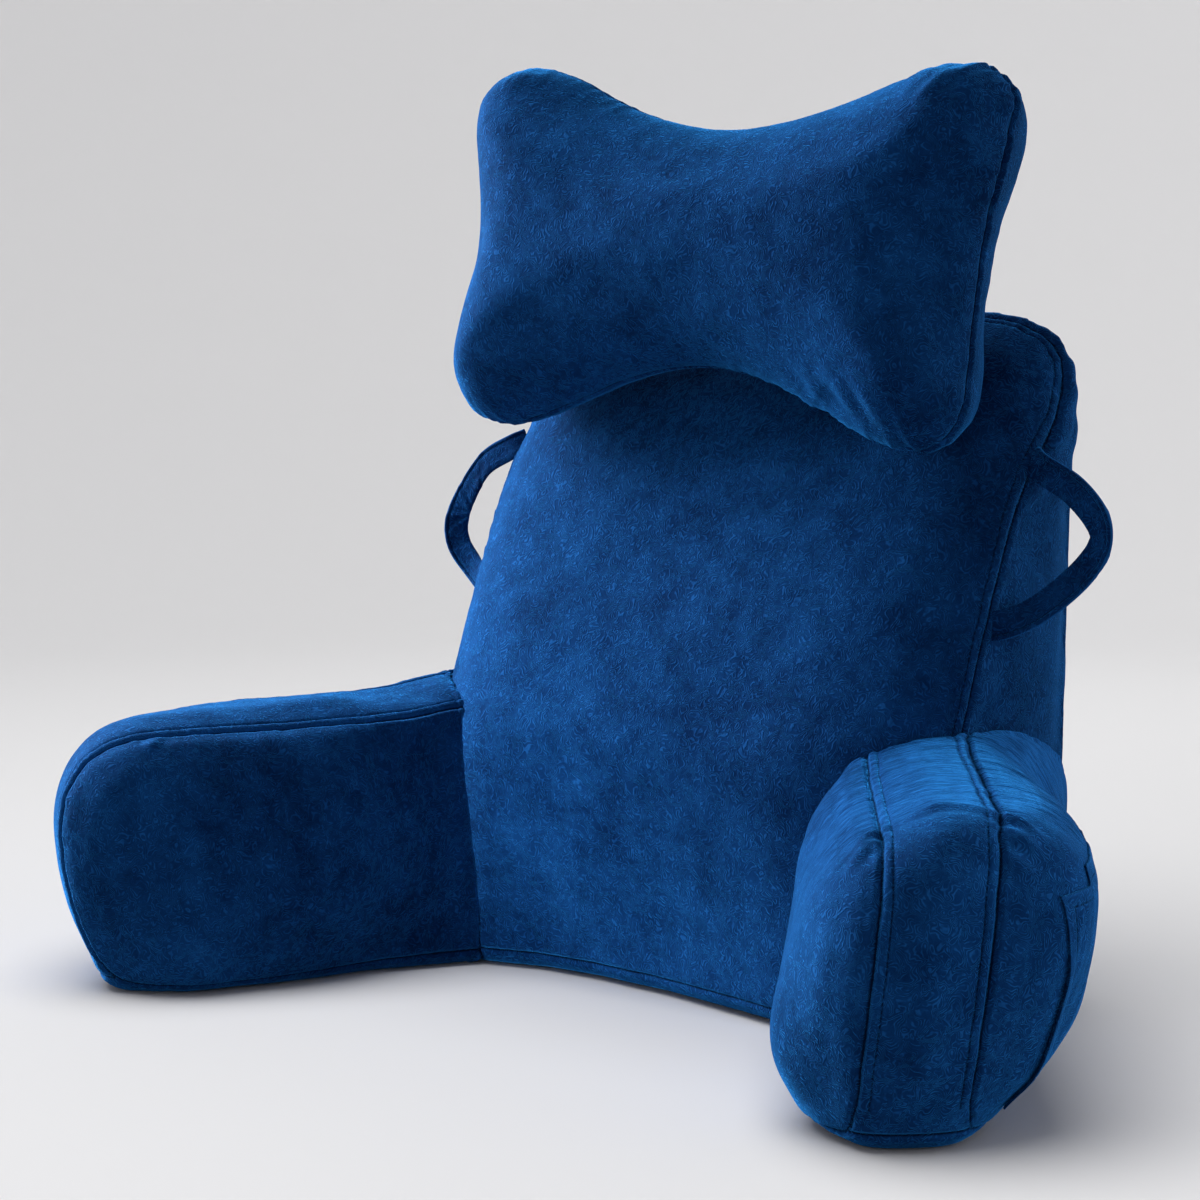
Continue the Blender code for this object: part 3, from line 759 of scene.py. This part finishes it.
# Neck pillow
neckPillow = {
    "centre": (0.002, -0.022, 0.567), "lean": 10.5, "roll": 1.5, "thickness": 0.146, "reach": 0.088,
    "leftLobe": 1.035, "tuck": 0.002,
    "gathers": (  # x, z, radius, then how much higher, longer and more slanted the folds are there
        (0.11, 0.465, 0.07, 0.0024, 0.016, 0.7), (0.215, 0.44, 0.06, 0.0034, 0.01, 0.0),
        (0.225, 0.69, 0.065, 0.0028, 0.014, 0.0), (-0.21, 0.69, 0.08, 0.0004, 0.035, -0.6),
        (0.235, 0.61, 0.06, 0.002, 0.01, 0.0), (-0.215, 0.44, 0.07, 0.0016, 0.012, 0.0)),
    "folds": (  # points along a fold, its height and width
        (((0.236, -0.02, 0.622), (0.226, -0.045, 0.621), (0.205, -0.068, 0.617)), -0.0035, 0.007),
        (((0.232, -0.03, 0.64), (0.217, -0.052, 0.641), (0.203, -0.066, 0.646)), 0.0022, 0.006),
        (((0.2, -0.06, 0.672), (0.207, -0.047, 0.688), (0.208, -0.034, 0.697)), 0.002, 0.005),
        (((0.056, -0.092, 0.5), (0.074, -0.09, 0.485), (0.098, -0.066, 0.47)), 0.0014, 0.006),
        (((0.095, -0.096, 0.495), (0.114, -0.09, 0.477), (0.128, -0.066, 0.458)), 0.0018, 0.007),
        (((0.135, -0.098, 0.485), (0.152, -0.09, 0.466), (0.163, -0.064, 0.446)), 0.0017, 0.007),
        (((0.168, -0.097, 0.478), (0.18, -0.088, 0.458), (0.187, -0.062, 0.44)), 0.0013, 0.007)),
    "outline": (  # x, height over the middle, round the right-hand half from the top
        (0.0, 0.094), (0.06, 0.101), (0.115, 0.116), (0.16, 0.133), (0.198, 0.142), (0.228, 0.134),
        (0.243, 0.11), (0.24, 0.08), (0.234, 0.04), (0.231, 0.0), (0.231, -0.04), (0.233, -0.08),
        (0.233, -0.11), (0.222, -0.133), (0.196, -0.142), (0.16, -0.136), (0.115, -0.118), (0.06, -0.097),
        (0.0, -0.088)),
    "filling": (0.0024, 11, 0.04), "rounding": 50, "gatherSides": (1.0, 0.8),
    "voxel": 0.0048, "pressure": 4.0, "swell": 0.0035, "fill": 0.75,
}


def makeNeckPillow(backPiece):
    shape = neckPillow
    right = [Vector(p) for p in shape["outline"]]
    lobe = [1 + (shape["leftLobe"] - 1) * ease(0.05, 0.20, p.x) * ease(0.0, 0.05, p.y) for p in right]
    left = [Vector((-p.x, p.y * taller)) for p, taller in zip(right, lobe)]
    whole = right[9:] + left[-2:0:-1] + right[:10]    # from the middle of the right end, all round
    turn = Matrix.Rotation(-math.radians(shape["roll"]), 2)
    outline = evenly([turn @ p for p in smoothLine(whole, 6)[:-1]], 150, closed=True)
    lean = math.radians(shape["lean"])
    up, front = Vector((0, math.sin(lean), math.cos(lean))), Vector((0, -math.cos(lean), math.sin(lean)))

    def place(flat, side):
        bulge = shape["thickness"] / 2 * puff(distanceTo(outline, flat), shape["reach"])
        return Vector(shape["centre"]) + Vector((flat.x, 0, 0)) + up * flat.y + front * bulge * side

    ratios = ringRatios(16)
    edge = [place(p, 0) for p in outline]
    rings = [[place(p * r, 1) for p in outline] for r in reversed(ratios)] + [edge]
    rings += [[place(p * r, -1) for p in outline] for r in ratios]
    piece = skinRings("neckPillowCover", rings, place(Vector((0, 0)), 1), place(Vector((0, 0)), -1))
    cutBy(piece, backPiece, shape["tuck"])
    inFront, behind = (towards([place(p * 0.97, side) for p in outline], edge) for side in (1, -1))

    def gather(p):
        # most on the right-hand lobes and along the bottom towards them, where the folds lean inwards
        height, reach, lean = 0.0007, 0.014, 0.0
        for x, z, radius, more, longer, slant in shape["gathers"]:
            share = math.exp(-((p.x - x) ** 2 + (p.z - z) ** 2) / radius**2)
            height, reach, lean = height + more * share, reach + longer * share, lean + slant * share
        return (height, reach, lean)

    return piece, [makeSeam(edge, inFront, behind, closed=True, stitched=False, gather=gather)]


def neckRelief(points, field):
    folds = sum(foldRelief(points, *fold) for fold in neckPillow["folds"])
    return unevenFilling(points, field, *neckPillow["filling"]) + folds


backPiece, backSeams = makeBack()
leftArm, leftSeams = makeArm("leftArmCover", -1, backPiece)
rightArm, rightSeams = makeArm("rightArmCover", 1, backPiece)
neckPiece, neckSeams = makeNeckPillow(backPiece)
print("shapes made")

backTree = treeOf(backPiece)
dressCushion(backPiece, backSeams, backCushion, backRelief)
for piece, seams, mirror in ((leftArm, leftSeams, -1), (rightArm, rightSeams, 1)):
    dressCushion(piece, seams, armCushion, armRelief(mirror, backTree), mirror * 3.0, backTree)
    setArmFlow(piece, mirror)
dressCushion(neckPiece, neckSeams, neckPillow, neckRelief, row=40.0, floor=False)
for piece, node, style in ((backPiece, "back_cushion", backCushion), (leftArm, "arm_left", armCushion),
                           (rightArm, "arm_right", armCushion), (neckPiece, "neck_pillow", neckPillow)):
    finishPiece(piece, node)
print("cushions dressed")


# Handles: a flat folded strap with a rolled edge, one row of stitches and creases where it bends
handle = {
    "route": (  # x outwards, y, z on the right, z on the left, turn of the band's flat
        (0.24, 0.037, 0.415, 0.415, 20), (0.252, 0.03, 0.409, 0.409, 22),
        (0.279, 0.027, 0.396, 0.394, 18), (0.299, 0.024, 0.379, 0.365, 2),
        (0.307, 0.022, 0.364, 0.342, -14), (0.303, 0.022, 0.349, 0.324, -16),
        (0.286, 0.019, 0.328, 0.308, -8), (0.264, 0.005, 0.307, 0.298, -4),
        (0.249, -0.015, 0.298, 0.295, 0), (0.232, -0.021, 0.295, 0.293, 0)),
    "width": 0.022, "thickness": 0.007, "stitchIn": 0.0042, "fill": 0.3,
    "creases": (  # length along the strap, lean, depth
        (0.05, 0.9, 0.0008), (0.078, 0.5, 0.0011), (0.094, -0.4, 0.0013), (0.104, -0.9, 0.0012),
        (0.124, 0.4, 0.0007), (0.165, -0.6, 0.0006)),
    "rolled": (0.002, 0.0022),              # the rolled edge: its middle, from the outer edge, and width
    "stitchDip": 0.0009,
    "fold": (0.0135, 0.0013, 0.0011),       # the fold in the upper half: its place, width and depth
    "lappedEnd": (0.188, -0.73, 0.0012),    # where the strap laps over its own tail, lean, step
}


def makeHandle(name, mirror):
    shape = handle
    column = 2 if mirror > 0 else 3
    turned = [Vector((row[0], row[1], row[column], math.radians(row[4]))) for row in shape["route"]]
    route = evenly(smoothLine(turned, 10), 150)
    around = 48
    rings, gaps, runs = [], [], []
    run = 0.0
    for k, here in enumerate(route):
        along = (route[min(k + 1, len(route) - 1)] - route[max(k - 1, 0)]).xyz.normalized()
        run += (here.xyz - route[max(k - 1, 0)].xyz).length
        flatNormal = Vector((math.sin(here.w), -math.cos(here.w), 0.0))
        thick = (flatNormal - along * flatNormal.dot(along)).normalized()
        wide = along.cross(thick)
        ring = []
        for j in range(around):
            angle = 2 * math.pi * j / around
            c, sn = math.cos(angle), math.sin(angle)
            across = math.copysign(abs(c) ** 0.55, c) * shape["width"] / 2
            inFromEdge = shape["width"] / 2 + across      # from the loop's outer edge, rolled and stitched
            half = shape["thickness"] / 2 * (0.62 + 0.30 * bell(inFromEdge, *shape["rolled"]))
            lift = math.copysign(abs(sn) ** 0.8, sn) * half
            dip = shape["stitchDip"] * bell(inFromEdge, shape["stitchIn"], 0.0010)
            wrinkle = 0.0
            for place, lean, depth in shape["creases"]:
                offset = run - place - lean * across
                inner = 0.4 + 0.6 * ease(-0.010, 0.008, across)    # deepest on the inside of the bend
                wrinkle -= 0.8 * depth * bell(offset, 0.0, 0.0022) * inner
                wrinkle += 0.5 * depth * bell(offset, 0.0045, 0.0030)
            upper = ease(0.010, 0.020, run) * (1 - ease(0.070, 0.090, run))
            place, width, depth = shape["fold"]
            wrinkle -= depth * bell(inFromEdge, place, width) * upper
            place, lean, step = shape["lappedEnd"]
            wrinkle -= step * ease(0.0, 0.0012, run - place - lean * across) * (sn > 0)
            wrinkle += 0.0006 * noise.noise((run * 60, across * 90, mirror))
            lift += math.copysign(1, sn) * max(wrinkle - dip, 0.0006 - half) * ease(0.0, 0.5, abs(sn))
            point = here.xyz + wide * across + thick * lift
            ring.append(Vector((point.x * mirror, point.y, point.z)))
            gaps.append(0.0018 + inFromEdge * (seamStyle["stitchAt"] - 0.0018) / shape["stitchIn"])
            runs.append(run)
        rings.append(ring)
    ends = [Vector((p.x * mirror, p.y, p.z)) for p in (route[0], route[-1])]
    piece = skinRings(name, rings, *ends)
    setSeams(piece.data, gaps + [0.02, 0.02], runs + [0.0, run])
    return piece


leftHandle, rightHandle = makeHandle("leftHandleStrap", -1), makeHandle("rightHandleStrap", 1)
for piece, node in ((leftHandle, "handle_left"), (rightHandle, "handle_right")):
    finishPiece(piece, node)
print("handles made")


# Pocket, laid on the right arm's outer panel
pocket = {
    "rear": 0.03, "front": (0.258, 0.297),     # s of its rear edge, and of its front edge's foot and top
    "foot": 0.022, "lowTop": 0.152, "highTop": 0.162, "step": (0.875, 0.89),
    "thickness": 0.0015, "standOff": 0.0004, "loose": 0.0026, "rumple": (0.0011, 0.0008),
    "flat": (0.262, 0.168), "area": 0.04,
}


def makePocket(armPiece):
    shape = pocket
    outline = armOutline(90)
    tree = treeOf(armPiece)
    columns, rows = 150, 96
    broad, fine = shape["rumple"]
    grid, gaps, runs = [], [], []
    for i in range(columns + 1):
        share = i / columns
        top = shape["highTop"] + (shape["lowTop"] - shape["highTop"]) * ease(*shape["step"], share)
        line = []
        for j in range(rows + 1):
            height = shape["foot"] + (top - shape["foot"]) * j / rows
            low, high = shape["front"]
            front = low + (high - low) * ease(shape["foot"], shape["lowTop"], height)
            s = shape["rear"] + (front - shape["rear"]) * share
            near, normal, _, _ = tree.find_nearest(armToWorld(armPanel(outline, 1, s, height), 1))
            edge = min(front - s, top - height)
            gather = broad * noise.noise((s * 70 + height * 12, height * 9, 2.0))
            gather += fine * noise.noise((s * 150, height * 14, 6.0)) * (1 - ease(0.02, 0.06, edge))
            rumple = abs(gather) * (0.25 + 0.75 * ease(0.0, 0.012, edge))
            loose = shape["loose"] * (1 - ease(0.001, 0.010, edge)) * (1 - 0.65 * ease(0.10, 0.13, height))
            line.append(near + normal * (shape["standOff"] + loose + rumple))
            # the gap starts just above zero, so a line of painted shade runs along the pocket's edge
            gaps.append(edge + 0.0008)
            runs.append(height if front - s < top - height else s)
        grid.append(line)
    bm = bmesh.new()
    verts = [[bm.verts.new(p) for p in line] for line in grid]
    for a, b in zip(verts, verts[1:]):
        for k in range(rows):
            bm.faces.new((a[k], b[k], b[k + 1], a[k + 1]))
    piece = addMesh("pocketPanel", bm)
    setSeams(piece.data, gaps, runs)
    applyModifier(piece, "SMOOTH", factor=0.5, iterations=2)
    applyModifier(piece, "SOLIDIFY", thickness=shape["thickness"], offset=1.0)
    return piece


pocketPiece = makePocket(rightArm)
finishPiece(pocketPiece, "pocket")
print("pocket laid on")


# Materials. Shader sums are written as Python expressions on sockets.
class Signal:
    def __init__(self, shader, socket):
        self.shader, self.socket = shader, socket

    def combine(self, operation, other):
        return self.shader.maths(operation, self, other)

    def __add__(self, other):
        return self.combine("ADD", other)

    __radd__ = __add__

    def __sub__(self, other):
        return self.combine("SUBTRACT", other)

    def __rsub__(self, other):
        return self.shader.maths("SUBTRACT", other, self)

    def __mul__(self, other):
        return self.combine("MULTIPLY", other)

    __rmul__ = __mul__

    def __truediv__(self, other):
        return self.combine("DIVIDE", other)

    def __abs__(self):
        return self.shader.maths("ABSOLUTE", self)

    def rampTo(self, low, high):
        return self.shader.add("ShaderNodeMapRange", {"interpolation_type": "SMOOTHSTEP"},
                               {"Value": self.socket, "From Min": low, "From Max": high})


class Shader:
    def __init__(self, name):
        self.material = bpy.data.materials.new(name)
        self.material.use_nodes = True
        self.tree = self.material.node_tree
        self.surface = self.tree.nodes["Principled BSDF"]

    def add(self, kind, settings=None, inputs=None, output=0):
        node = self.tree.nodes.new(kind)
        for key, value in (settings or {}).items():
            setattr(node, key, value)
        for key, value in (inputs or {}).items():
            self.feed(node.inputs[key], value)
        return Signal(self, node.outputs[output])

    def feed(self, socket, value):
        if isinstance(value, Signal):
            value = value.socket
        if isinstance(value, bpy.types.NodeSocket):
            self.tree.links.new(value, socket)
        else:
            socket.default_value = value

    def maths(self, operation, *values):
        return self.add("ShaderNodeMath", {"operation": operation}, dict(enumerate(values)))

    def attribute(self, name, output=2):
        return self.add("ShaderNodeAttribute", {"attribute_name": name}, output=output)

    def mixColour(self, share, first, second):
        return self.add("ShaderNodeMix", {"data_type": "RGBA"}, {0: share, 6: first, 7: second}, output=2)

    def finish(self, values):
        for name, value in values.items():
            self.feed(self.surface.inputs[name], value)
        return self.material


velvet = {
    "deep": (0.0007, 0.0085, 0.04, 1), "mid": (0.0022, 0.025, 0.1, 1),
    "light": (0.0062, 0.06, 0.208, 1), "threadAndCreaseShade": (0.0004, 0.003, 0.012, 1),
    "surface": {"Roughness": 0.9, "Specular IOR Level": 0.009, "Sheen Weight": 0.46, "Sheen Roughness": 0.32,
                "Sheen Tint": (0.03, 0.36, 1.0, 1)},
    "patches": 8.0, "mottle": 46.0, "grain": 1100.0,    # scales of the light and dark in the pile
    "maze": 88.0, "mazeLines": 62.0,                    # size and closeness of its winding strokes
    "shares": (0.46, 0.4, 0.19, 0.1),                   # of patches, mottle, strokes and grain in the shade
    "pile": (0.00045, 0.0005, 0.0001),                  # heights of strokes, mottle and grain
}


def velvetMaterial(name, seed, brushed=False, paintedShade=0.0, edge=0.35):
    # edge is how strong the painted highlight along the folded edge beside a seam is
    shader = Shader(name)
    place = shader.add("ShaderNodeTexCoord", output=3)
    shifted = shader.add("ShaderNodeMapping", inputs={"Vector": place, "Location": (seed, seed * 0.7, -seed)})

    def cloud(scale, detail, roughness=0.5, distortion=0.0, vector=shifted):
        return shader.add("ShaderNodeTexNoise", inputs={"Vector": vector, "Scale": scale, "Detail": detail,
                                                        "Roughness": roughness, "Distortion": distortion})

    def wave(phase):
        return shader.maths("SINE", phase) * 0.5 + 0.5

    patches = cloud(velvet["patches"], 4.0, 0.6)
    mottle = cloud(velvet["mottle"], 4.0, 0.6, 0.3)
    grain = cloud(velvet["grain"], 1.0)
    maze = wave(cloud(velvet["maze"], 1.0, 0.5, 0.6) * (velvet["mazeLines"] * math.pi / 2))
    breaks = cloud(240.0, 1.0).rampTo(0.32, 0.56)
    strokes = maze.rampTo(0.40, 0.98) * (breaks * 0.75 + 0.25)
    if brushed:
        # where the pile is brushed flat its strokes run round the arm
        flow, onTop = shader.attribute("armFlow", output=1), shader.attribute("armBrushed")
        streaks = cloud(1.0, 3.0, 0.6, 0.0, flow).rampTo(0.40, 0.62) * 1.25
        strokes = strokes * (1 - onTop) + streaks * onTop
    a, b, c, d = velvet["shares"]
    # painted shade: the value taken off here darkens the whole colour of a piece; only the handles use it
    shade = patches * a + mottle * b + strokes * c + grain * d - paintedShade - 0.07
    colour = shader.mixColour(shade.rampTo(0.25, 0.52), velvet["deep"], velvet["mid"])
    colour = shader.mixColour(shade.rampTo(0.44, 0.76), colour, velvet["light"])
    a, b, c = velvet["pile"]
    height = strokes * a + mottle * b + grain * c
    gap, run, sewn = (shader.attribute(name) for name in ("seamGap", "seamRun", "seamStitched"))
    # painted shade: the seam crease is darkened in colour
    crease = 1 - abs(gap).rampTo(0.0003, 0.0015)
    beat = shader.maths("FRACT", run / seamStyle["pitch"])
    dash = abs(beat - 0.5).rampTo(0.28, 0.36)
    row = (1 - abs(gap - seamStyle["stitchAt"]).rampTo(0.0002, 0.0009)) * sewn * (1 - dash * 0.65)
    line = shader.maths("MAXIMUM", crease, row * 0.8)
    # painted highlight: a lighter line along the folded edge beside each seam, strongest on the handles'
    # edges
    ridge = (1 - abs(gap - 0.0020).rampTo(0.0003, 0.0012)) * edge
    colour = shader.mixColour(ridge, colour, velvet["light"])
    # the crease takes this dark colour as painted shade; the stitch row takes it as its dark thread
    colour = shader.mixColour(line * 0.9, colour, velvet["threadAndCreaseShade"])
    height = height - crease * 0.0007 - row * 0.0006
    bump = shader.add("ShaderNodeBump", inputs={"Strength": 0.9, "Distance": 1.0, "Height": height})
    return shader.finish({"Base Color": colour, "Normal": bump, **velvet["surface"]})


for piece, name, seed, facts in (
        (backPiece, "backVelvet", 0.0, {}), (neckPiece, "neckVelvet", 8.7, {}),
        (leftArm, "leftArmVelvet", 2.3, {"brushed": True}),
        (rightArm, "rightArmVelvet", 5.1, {"brushed": True}),
        # the handles' straps are darkened all over by painted shade
        (leftHandle, "leftHandleVelvet", 1.1, {"paintedShade": 0.09, "edge": 0.9}),
        (rightHandle, "rightHandleVelvet", 3.9, {"paintedShade": 0.07, "edge": 0.9}),
        (pocketPiece, "pocketVelvet", 6.2, {})):
    piece.data.materials.clear()
    piece.data.materials.append(velvetMaterial(name, seed, **facts))
print("velvet applied")


# Floor, light and camera
studio = {
    "paint": {"Base Color": (0.8, 0.795, 0.8, 1), "Roughness": 0.95},
    "world": {"Color": (0.8, 0.81, 0.83, 1), "Strength": 0.19},
    "floorRadius": 2.3, "sweep": 1.6, "wall": 1.2,
    "lights": (  # name, direction from the aim, distance, size, watts, spread, aim, what it lights
        ("overheadLight", (-0.1, -0.25, 1.0), 3.0, 3.6, 108, 180, (0, 0, 0.3), "stage"),
        ("backdropLight", (0.55, -0.5, 0.55), 2.0, 1.2, 11, 180, (-1.3, 2.7, 0.7), "stage"),
        ("topLight", (-0.1, -0.25, 1.0), 3.0, 3.0, 30, 180, (0, 0, 0.3), "pillow"),
        ("keyLight", (-0.94, -0.1, 0.4), 2.3, 1.5, 255, 180, (0, -0.05, 0.3), "pillow"),
        ("lowLight", (-0.1, -0.4, -0.05), 0.42, 0.3, 0.9, 75, (-0.15, -0.09, 0.07), "back"),
        ("rimLight", (0.95, 0.45, 0.25), 1.8, 0.8, 20, 180, (0.3, -0.1, 0.15), "arms"),
        ("edgeLight", (0.5, 0.85, 0.45), 2.4, 1.0, 34, 180, (0, 0, 0.3), "pillow")),
}


def makeStudio():
    # a round floor that sweeps up into a low wall, so no horizon shows
    radius, sweep = studio["floorRadius"], studio["sweep"]
    profile = [(0.02, 0.0), (radius * 0.5, 0.0), (radius, 0.0)]
    for k in range(1, 13):
        angle = math.pi / 2 * k / 12
        profile.append((radius + sweep * math.sin(angle), sweep * (1 - math.cos(angle))))
    profile.append((radius + sweep, sweep + studio["wall"]))
    turns = [2 * math.pi * k / 72 for k in range(72)]
    rings = [[Vector((r * math.cos(a), r * math.sin(a), z)) for a in turns] for r, z in profile]
    backdrop = skinRings("studioSweep", rings, capStart=Vector((0, 0, 0)))
    backdrop.data.flip_normals()
    backdrop.data.shade_smooth()
    backdrop.data.materials.append(Shader("studioPaint").finish(studio["paint"]))
    return backdrop


def collect(name, *pieces):
    collection = bpy.data.collections.new(name)
    for piece in pieces:
        collection.objects.link(piece)
    return collection


def addLight(name, direction, distance, size, power, spread, aim, lit):
    light = bpy.data.lights.new(name, "AREA")
    light.shape, light.size, light.energy, light.spread = "DISK", size, power, math.radians(spread)
    lamp = addObject(name, light)
    lamp.location = Vector(aim) + Vector(direction).normalized() * distance
    lamp.rotation_euler = (Vector(aim) - lamp.location).to_track_quat("-Z", "Y").to_euler()
    if lit in litBy:
        lamp.light_linking.receiver_collection = litBy[lit]
    if name == "keyLight":
        lamp.light_linking.blocker_collection = keyShadows   # it reaches over the left arm


backdrop = makeStudio()
print("studio built")
allPieces = (backPiece, leftArm, rightArm, neckPiece, leftHandle, rightHandle, pocketPiece)
litBy = {"pillow": collect("pillowPieces", *allPieces), "stage": collect("stagePieces", backdrop),
         "back": collect("backOnly", backPiece), "arms": collect("armPieces", leftArm, rightArm, pocketPiece)}
keyShadows = collect("keyShadows", *(piece for piece in allPieces if piece is not leftArm))
for light in studio["lights"]:
    addLight(*light)

world = bpy.data.worlds.new("studioWorld")
bpy.context.scene.world = world
world.use_nodes = True
for socket, value in studio["world"].items():
    world.node_tree.nodes["Background"].inputs[socket].default_value = value
bpy.context.scene.view_settings.view_transform = "Standard"

camera = {"azimuth": 38.4, "pitch": 5.84, "distance": 2.13, "target": (-0.0025, -0.166, 0.312), "lens": 87.03}
view = bpy.data.cameras.new("photoCamera")
view.sensor_width, view.lens = 36, camera["lens"]
viewer = addObject("photoCamera", view)
azimuth, pitch = math.radians(camera["azimuth"]), math.radians(camera["pitch"])
level = math.cos(pitch)
outward = Vector((math.sin(azimuth) * level, -math.cos(azimuth) * level, math.sin(pitch)))
viewer.location = Vector(camera["target"]) + outward * camera["distance"]
viewer.rotation_euler = (-outward).to_track_quat("-Z", "Y").to_euler()
bpy.context.scene.camera = viewer
